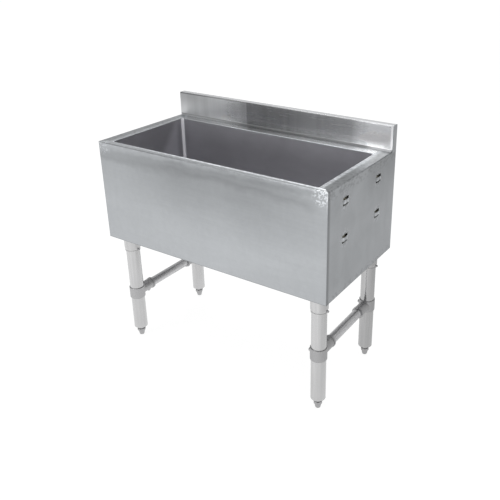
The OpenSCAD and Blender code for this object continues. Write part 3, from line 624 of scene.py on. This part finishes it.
def liner_sheet():
    """Liner: satin, with ground welds up its corners painted bright as highlights, and a patch of
    painted light on the left wall.
    """
    s = Steel("steel_liner", tinted(0.62, LINER_TINT), X, None, roughness=0.38, streak=0.4)
    x, y, z = s.axes()
    to_end = s.math("SUBTRACT", BIN_HALF_LENGTH, s.math("ABSOLUTE", x))
    to_wall = s.math("SUBTRACT", BIN_HALF_DEPTH,
                     s.math("ABSOLUTE", s.math("SUBTRACT", y, BIN_MIDDLE_Y)))
    # Ground welds up the corners, painted bright as highlights
    weld = s.both(s.rise(to_end, *LINER_WELD_FADE), s.rise(to_wall, *LINER_WELD_FADE))
    s.tone(weld, 1.9)
    s.scour(weld, 0.95)

    # Painted light: a patch on the left wall, whose front edge slants forwards and down
    slant = s.math("MULTIPLY_ADD", s.math("SUBTRACT", RIM, z), 0.8, y)
    painted_light_patch = s.both(s.rise(slant, 0.095, 0.155), s.rise(y, 0.138, 0.108),
                  s.rise(to_end, 0.03, 0.01), s.rise(z, RIM - 0.24, RIM - 0.12))
    s.tone(s.both(painted_light_patch, s.rise(x, 0.0, -0.1)), 1.55)

    # Painted light: the rear wall is lighter towards its top
    painted_light_rear_top = s.both(s.rise(y, OPENING_REAR - 0.003, OPENING_REAR - 0.001),
                      s.rise(z, RIM - 0.10, RIM - 0.01))
    s.tone(painted_light_rear_top, 1.2)
    s.clouds((4.0, 4.0, 4.0), 0.05, detail=3.0)
    s.clouds((13.0, 13.0, 22.0), 0.03, detail=3.0)
    return s.done()


def tube_sheet():
    """Leg tubes and sockets: painted shade on the rear right leg, as in the photo."""
    s = Steel("steel_tube", (0.57, 0.57, 0.573), Z, None, roughness=0.24)
    x, y, _ = s.axes()
    # Painted shade on the rear right leg
    s.tone(s.both(s.rise(x, -0.1, 0.1), s.rise(y, -0.1, 0.1)), 0.82)
    s.clouds((8.0, 8.0, 14.0), 0.02)
    s.clouds((48.0, 48.0, 1.5), 0.05)
    s.clouds((160.0, 160.0, 3.0), 0.03)
    return s.done()


def rail_tube():
    """Side rails: galvanised, with drawing lines along them and small bright and dull flecks."""
    s = Steel("galvanised_tube", (0.55, 0.55, 0.56), Y, None, roughness=0.30, streak=2.0)
    s.clouds((90.0, 5.0, 90.0), 0.12, detail=3.0)
    s.clouds((230.0, 120.0, 230.0), 0.18, detail=3.0)
    return s.done()


def drawn_sheet():
    """Small pressed steel part: the strainer."""
    s = Steel("steel_drawn", tinted(0.55), X, None, roughness=0.28, streak=0.5)
    s.clouds((40.0, 40.0, 40.0), 0.06, detail=3.0)
    return s.done()


def weld_sheet():
    """Bead of the edge weld: bright and flecked, duller at the bin's rear left."""
    s = Steel("steel_weld", tinted(0.88), X, None, roughness=0.3, streak=0.5)
    x, y, _ = s.axes()
    s.tone(s.both(s.rise(x, -0.15, -0.30), s.rise(y, 0.0, 0.1)), 0.65)
    s.scour(s.rise(s.noise((70, 70, 70), detail=3.0), 0.35, 0.60), 0.6)
    return s.done()


def dress(material, *nodes):
    for node in nodes:
        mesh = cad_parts[node].data
        mesh.materials.clear()
        mesh.materials.append(material)


def named(prefix):
    return [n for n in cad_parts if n.startswith(prefix)]


def closed_bead(name, points, radius, sides=12):
    """Round bead along the closed line through the points."""
    mesh = bpy.data.meshes.new(name)
    shape = bmesh.new()
    spare = Vector((0.3, 0.2, 1.0)).normalized()  # a direction that a level line never takes
    rings = []
    for i, point in enumerate(points):
        after = points[(i + 1) % len(points)]
        along = (Vector(after) - Vector(points[i - 1])).normalized()
        aside = along.cross(spare).normalized()
        above = aside.cross(along)
        ring = []
        for n in range(sides):
            a = n * math.tau / sides
            offset = radius * (aside * math.cos(a) + above * math.sin(a))
            ring.append(shape.verts.new(Vector(point) + offset))
        rings.append(ring)
    for i, one in enumerate(rings):
        two = rings[(i + 1) % len(rings)]
        for n in range(sides):
            shape.faces.new((one[n], one[(n + 1) % sides], two[(n + 1) % sides], two[n]))
    bmesh.ops.recalc_face_normals(shape, faces=shape.faces)
    for face in shape.faces:
        face.smooth = True
    shape.to_mesh(mesh)
    shape.free()
    return mesh


def rounded_rectangle(half_x, low_y, high_y, z, r, steps=5):
    points = []
    for quarter, (x, y) in enumerate(((half_x - r, high_y - r), (r - half_x, high_y - r),
                                      (r - half_x, low_y + r), (half_x - r, low_y + r))):
        for n in range(steps + 1):
            a = (quarter + n / steps) * math.pi / 2
            points.append((x + r * math.cos(a), y + r * math.sin(a), z))
    return points


def weld_opening():
    """Edge weld that joins the rim and the liner's flange round the opening."""
    back = EDGE_WELD_R / 3  # how far the bead's middle lies behind the opening's edge
    path = rounded_rectangle(BIN_HALF_LENGTH + back, OPENING_FRONT - back, OPENING_REAR + back,
                             RIM - EDGE_WELD_R, OPENING_CORNER_R)
    mesh = closed_bead("weld_opening", path, EDGE_WELD_R)
    mesh.materials.append(weld_sheet())
    piece = bpy.data.objects.new("weld_opening", mesh)
    bpy.context.scene.collection.objects.link(piece)
    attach(piece, "chest")


make_camera()
make_world()
make_floor()
for lamp in LAMPS:
    make_lamp(*lamp)

dress(front_sheet(), "front_panel")
dress(back_sheet(), "back_panel")
dress(side_sheet(), "left_panel", "right_panel")
dress(splash_sheet(), "backsplash")
dress(end_sheet(), "splash_end_left", "splash_end_right")
dress(drawn_sheet(), "drain_strainer")
dress(liner_sheet(), "liner")
dress(tube_sheet(), *named("leg_front"), *named("leg_rear"), *named("socket_front"),
      *named("socket_rear"))
dress(rail_tube(), *named("side_rail"))
dress(plain("galvanised", (0.42, 0.42, 0.43), roughness=0.45),
      "bottom_pan", *named("leg_channel"))
dress(plain("cast_metal", (0.46, 0.46, 0.465), roughness=0.5),
      "clamp_front_right", *named("clamp_rear"), *named("insert"))
# A lighter copy of the cast metal on the front left clamp, as painted light
dress(plain("cast_painted_light", (0.51, 0.51, 0.515), roughness=0.5), "clamp_front_left")
dress(plain("foot_metal", (0.44, 0.44, 0.445), roughness=0.42, thread=FOOT_THREAD),
      *named("foot_"))
dress(plain("zinc", (0.5, 0.5, 0.51), roughness=0.35),
      "socket_bolts", "socket_nuts", "socket_set_screws", "clamp_screws")
dress(plain("plated_brass", (0.6, 0.57, 0.5), roughness=0.3, thread=SPIGOT_THREAD),
      "drain_body", "drain_locknut")
dress(plain("rubber", (0.02, 0.02, 0.02), roughness=0.7, metallic=0.0), "drain_gasket")
dress(plain("fibre", (0.35, 0.12, 0.07), roughness=0.8, metallic=0.0), "drain_washer")
dress(plain("foam", (0.8, 0.76, 0.62), roughness=0.95, metallic=0.0), *named("insulation"))

weld_opening()

bpy.context.scene.view_settings.view_transform = "Standard"
